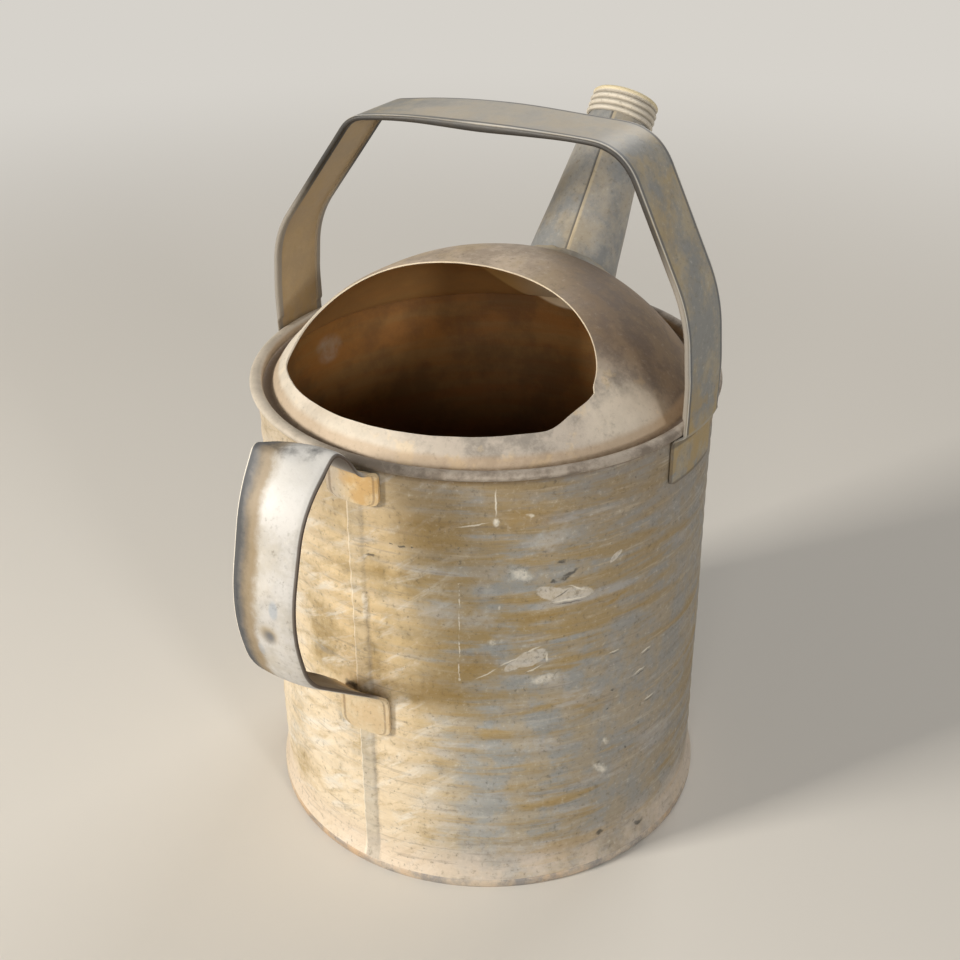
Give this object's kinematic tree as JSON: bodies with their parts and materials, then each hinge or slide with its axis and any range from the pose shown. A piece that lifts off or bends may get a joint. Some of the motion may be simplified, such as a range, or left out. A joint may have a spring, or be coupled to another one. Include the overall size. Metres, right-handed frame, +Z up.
{
  "type": "watering can",
  "caption": "Weathered galvanised watering can with a seamed drum, domed top, filling mouth, short threaded spout, rigid carrying strap and rear grip.",
  "frame": {"origin": "middle of the can's bounding box seen from above, on the ground under the foot seam", "axes": "+Z up, +X the way the spout points, +Y to the left of someone looking along the spout from the rear grip"},
  "size_m": [0.31, 0.2144, 0.3324],
  "materials": {
    "drum_zinc": "dull galvanised, stained ochre with rust",
    "floor_zinc": "dull galvanised, rusted inside",
    "hood_zinc": "dull galvanised, grey-brown stains",
    "spout_zinc": "dull galvanised",
    "solder": "dull tin solder",
    "collar_zinc": "pale galvanised, chalky",
    "strap_zinc": "dull galvanised, edges rubbed bright",
    "grip_zinc": "galvanised, rubbed pale in the middle"
  },
  "bodies": {
    "root": {"body_shell": "drum_zinc", "bottom_plate": "floor_zinc", "top_hood": "hood_zinc", "spout": "spout_zinc", "spout_solder": "solder", "spout_collar": "collar_zinc", "bail_handle": "strap_zinc", "rear_handle": "grip_zinc"}
  },
  "joints": []
}
